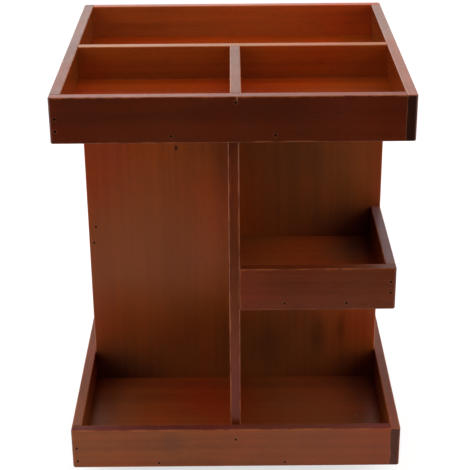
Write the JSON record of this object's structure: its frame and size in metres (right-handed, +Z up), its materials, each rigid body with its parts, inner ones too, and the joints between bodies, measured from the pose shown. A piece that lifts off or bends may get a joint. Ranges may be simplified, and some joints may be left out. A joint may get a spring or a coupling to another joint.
{
  "type": "rotating desk organizer",
  "caption": "Square stained-wood desk organizer on a ball-bearing turntable, with a divided top tray, a middle panel, side shelves and an open lower tray.",
  "frame": {"origin": "on the floor under the middle of the turntable, which is the middle of the footprint", "axes": "+Z up along the turntable's axis, -Y towards the front, +X towards the shelf's side of the front"},
  "size_m": [0.29, 0.29, 0.368],
  "materials": {
    "tray_wood": "red-brown stain, satin lacquer",
    "floor_wood": "red-brown stain, satin lacquer",
    "panel_wood": "red-brown stain, satin lacquer",
    "base_wood": "red-brown stain, satin lacquer",
    "brad_steel": "dark, set below the surface",
    "screw_steel": "zinc plated",
    "plate_steel": "zinc plated",
    "cage_steel": "bare, oiled",
    "ball_steel": "polished",
    "rubber": "matt"
  },
  "bodies": {
    "base": {"base_board": "base_wood", "rubber_feet": "rubber", "foot_screws": "screw_steel", "turntable_lower_plate": "plate_steel", "lower_plate_screws": "screw_steel"},
    "ball_ring": {"ball_cage": "cage_steel", "turntable_balls": "ball_steel"},
    "organizer": {"lower_front_board": "tray_wood", "lower_right_board": "tray_wood", "lower_back_board": "tray_wood", "lower_left_board": "tray_wood", "top_front_board": "tray_wood", "top_right_board": "tray_wood", "top_back_board": "tray_wood", "top_left_board": "tray_wood", "front_shelf_front_board": "tray_wood", "front_shelf_side_board": "tray_wood", "back_shelf_front_board": "tray_wood", "back_shelf_side_board": "tray_wood", "top_long_partition": "tray_wood", "top_short_partition": "tray_wood", "lower_floor": "floor_wood", "top_floor": "floor_wood", "front_shelf_floor": "floor_wood", "back_shelf_floor": "floor_wood", "middle_panel": "panel_wood", "front_divider": "panel_wood", "back_divider": "panel_wood", "lower_tray_brads": "brad_steel", "lower_floor_brads": "brad_steel", "top_tray_brads": "brad_steel", "top_floor_brads": "brad_steel", "front_shelf_brads": "brad_steel", "back_shelf_brads": "brad_steel", "panel_brads": "brad_steel", "turntable_upper_plate": "plate_steel", "upper_plate_screws": "screw_steel"}
  },
  "joints": [
    {"name": "organizer_spin", "type": "hinge", "parent": "base", "child": "organizer", "pos_m": [0, 0, 0.019], "axis": [0, 0, 1], "continuous": true},
    {"name": "ball_ring_spin", "type": "hinge", "parent": "base", "child": "ball_ring", "pos_m": [0, 0, 0.019], "axis": [0, 0, 1], "continuous": true}
  ],
  "couplings": [
    {"joint": "ball_ring_spin", "follows": "organizer_spin", "ratio": 0.5}
  ]
}
